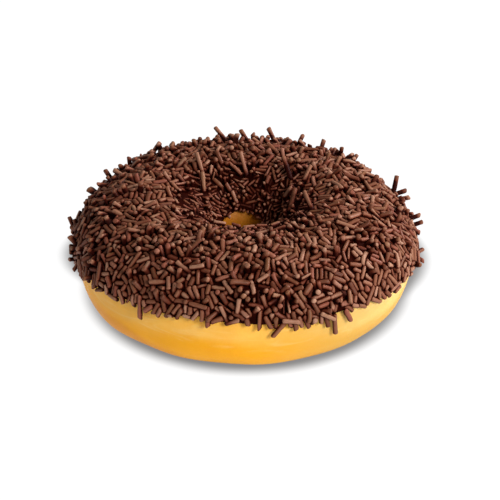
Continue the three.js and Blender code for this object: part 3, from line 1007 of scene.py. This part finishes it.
def chocolate_sprinkle(settings):
    """Chocolate sprinkles: each has its own tone, with a dull, faintly waxy skin. Painted shade darkens a
    sprinkle where it lies sunk among the rest, and thins its coat there.
    """
    finish = Finish("chocolate_sprinkle")
    tone, warmth, exposure = (
        finish.add("ShaderNodeAttribute", {"attribute_name": field})["Fac"]
        for field in ("tone", "warmth", "exposure")
    )
    place = finish.place
    bloom = finish.noise(place, size=1.1 * MM, Detail=3.0, Roughness=0.6)
    share = tone + BLOOM * (bloom - 0.5)
    stops = [(0.0, settings.dark), (0.5, settings.mid), (1.0, settings.light)]
    ramp = finish.add("ShaderNodeValToRGB", {"stops": stops}, {"Fac": share})
    colour = finish.mix(warmth.between(*REDDISH_OVER) * REDDISH_MOST, ramp["Color"], settings.reddish)
    colour = finish.mix((1 - warmth.between(*OLIVE_UNTIL)) * OLIVE_MOST, colour, settings.olive)
    # Painted shade: half-sunk points darken, and sunk ones darken most
    colour = finish.mix(exposure.between(*HALF_SHADED_UNTIL), settings.half_shaded, colour)
    colour = finish.mix(exposure.between(*SUNK_UNTIL), settings.sunk, colour)
    grain = finish.noise(place, size=0.25 * MM, Detail=2.0)
    return finish.surface(
        Base_Color=colour,
        Roughness=0.6,
        Specular_IOR_Level=0.05,
        Coat_Weight=0.03 + 0.2 * exposure,
        Coat_Roughness=0.38,
        Normal=finish.bump(grain + bloom, 0.05 * MM),
    )


class DOUGHNUT_OT_scatter_sprinkles(bpy.types.Operator):
    """Scatters the sprinkles over the icing and lets them settle on it and on each other"""

    bl_idname = "doughnut.scatter_sprinkles"
    bl_label = "Scatter sprinkles"

    def execute(self, context):
        ring = read_ring(context.scene)
        settings = context.scene.doughnut_sprinkles
        draw = np.random.default_rng(settings.seed)
        laid = [place_rods(ring, settings, rows, rise) for rows, rise in LAID]
        rods = settle(joined(lay_rods(ring, settings, draw), *laid), ring)
        _, t, _, out = ring.over_dough(rods.centre)
        slope = np.abs(dot(rods.axis, out))
        lies, stands = slope < math.sin(LEANS_FROM), slope > math.sin(STANDS_FROM)
        on_side = t < SIDE_TO
        free = ~rods.held
        kinds = {
            "laid_sprinkles": rods.held,
            "standing_sprinkles": free & stands,
            "leaning_sprinkles": free & ~stands & ~lies,
            "side_sprinkles": free & lies & on_side,
            "crown_sprinkles": free & lies & ~on_side,
        }
        points = rod_points(rods, draw)
        each = np.ones(points.shape[:2])
        fields = {
            "tone": draw.beta(*TONE_SPREAD, len(points))[:, None] * each,
            "warmth": draw.random(len(points))[:, None] * each,
            # painted shade, as a level from 0, fully shaded, to 1, unshaded
            "exposure": painted_light_levels(rods, points, ring),
        }
        material = chocolate_sprinkle(settings)
        for name, chosen in kinds.items():
            own_fields = {field: numbers[chosen] for field, numbers in fields.items()}
            piece = sprinkle_object(name, points[chosen], own_fields, material)
            fit_to_frame(piece, "sprinkled_icing")
        return {"FINISHED"}


# ---- Stage

FLOOR_HALF = 1.5  # metres from the middle to each side
SENSOR_WIDTH = 36  # millimetres
FLOOR_SHADES = (  # where the floor is shaded: a middle, and how far it reaches along X, Y and Z
    ((0.4 * MM, 4.2 * MM, 0), (40.9 * MM, 41.4 * MM, 1)),
    ((-3.6 * MM, 19.5 * MM, 0), (43.6 * MM, 27.9 * MM, 1)),
    ((7.4 * MM, 16.9 * MM, 0), (40.1 * MM, 33.1 * MM, 1)),
)
FLOOR_SHADE_EDGE = (0.97, 1.11)  # the shade fades out over these shares of its reach
KEY_PLACE = Vector((0.61, 0.29, 0.44))
FILL_PLACE = Vector((0.44, -0.53, 0.41))
LAMP_SIZE = 0.22
SHIFT = (0.0102, -0.0114)  # shares of the frame that set the ring a little left of and above its middle


def soft_lamp(name, place, power, target):
    """A square lamp that faces the target."""
    data = bpy.data.lights.new(name, "AREA")
    data.size = LAMP_SIZE
    data.energy = power
    lamp = new_object(name, data)
    lamp.location = place
    lamp.rotation_euler = (target - place).to_track_quat("-Z", "Y").to_euler()


def studio_floor(stage):
    """The floor, which glows white as a lit table does, with a soft shade round the doughnut's foot."""
    finish = Finish("studio_floor")
    place = finish.place
    clear = 1
    for middle, reach in FLOOR_SHADES:
        away = finish.vector_math("SUBTRACT", place, middle)["Vector"]
        scaled = finish.stretch(away, tuple(1 / size for size in reach))
        far = finish.vector_math("LENGTH", scaled)["Value"]
        clear = clear * far.between(*FLOOR_SHADE_EDGE)
    material = finish.surface(
        Base_Color=stage.floor,
        Roughness=0.9,
        Specular_IOR_Level=0.1,
        Emission_Color=finish.mix(clear, stage.shade, (1, 1, 1)),
        Emission_Strength=stage.glow,
    )
    corners = np.array([(-1, -1, 0), (1, -1, 0), (1, 1, 0), (-1, 1, 0)]) * FLOOR_HALF
    return smooth_object("studio_floor", corners, [(0, 1, 2, 3)], material)


class DOUGHNUT_OT_set_stage(bpy.types.Operator):
    """Sets the floor, the lamps and the camera"""

    bl_idname = "doughnut.set_stage"
    bl_label = "Set stage"

    def execute(self, context):
        scene = context.scene
        stage = scene.doughnut_stage
        middle = Vector((0, 0, scene.doughnut_dough.equator))
        studio_floor(stage)
        soft_lamp("key_lamp", KEY_PLACE, stage.key, middle)
        soft_lamp("fill_lamp", FILL_PLACE, stage.fill, middle)
        scene.world = bpy.data.worlds.new("studio")
        scene.world.use_nodes = True
        sky = scene.world.node_tree.nodes["Background"].inputs
        sky["Color"].default_value = (1, 1, 1, 1)
        sky["Strength"].default_value = stage.sky
        data = bpy.data.cameras.new("camera")
        data.sensor_width = SENSOR_WIDTH
        data.lens = stage.lens
        data.shift_x, data.shift_y = SHIFT
        camera = new_object("camera", data)
        back = Vector((0, -math.cos(stage.elevation), math.sin(stage.elevation)))
        camera.location = middle + back * stage.distance
        camera.rotation_euler = (math.pi / 2 - stage.elevation, 0, 0)
        scene.camera = camera
        scene.view_settings.view_transform = "Standard"
        return {"FINISHED"}


class DOUGHNUT_PT_sidebar(bpy.types.Panel):
    """The doughnut's steps and settings"""

    bl_label = "Doughnut"
    bl_idname = "DOUGHNUT_PT_sidebar"
    bl_space_type = "VIEW_3D"
    bl_region_type = "UI"
    bl_category = "Doughnut"

    def draw(self, context):
        for operator in OPERATORS:
            self.layout.operator(operator.bl_idname)
        for name, group in SETTINGS.items():
            box = self.layout.box()
            for field in group.__annotations__:
                box.prop(getattr(context.scene, name), field)


OPERATORS = (
    DOUGHNUT_OT_shape_dough,
    DOUGHNUT_OT_dip_icing,
    DOUGHNUT_OT_scatter_sprinkles,
    DOUGHNUT_OT_set_stage,
)
CLASSES = (*SETTINGS.values(), *OPERATORS, DOUGHNUT_PT_sidebar)


def register():
    """Registers the classes and hangs the settings on the scene."""
    for cls in CLASSES:
        bpy.utils.register_class(cls)
    for name, group in SETTINGS.items():
        setattr(bpy.types.Scene, name, bpy.props.PointerProperty(type=group))


def unregister():
    """Takes the settings off the scene and unregisters the classes."""
    for name in SETTINGS:
        delattr(bpy.types.Scene, name)
    for cls in reversed(CLASSES):
        bpy.utils.unregister_class(cls)


def main():
    """Makes the doughnut and its stage."""
    register()
    bpy.ops.doughnut.shape_dough()
    bpy.ops.doughnut.dip_icing()
    bpy.ops.doughnut.scatter_sprinkles()
    bpy.ops.doughnut.set_stage()


if __name__ == "__main__":
    main()
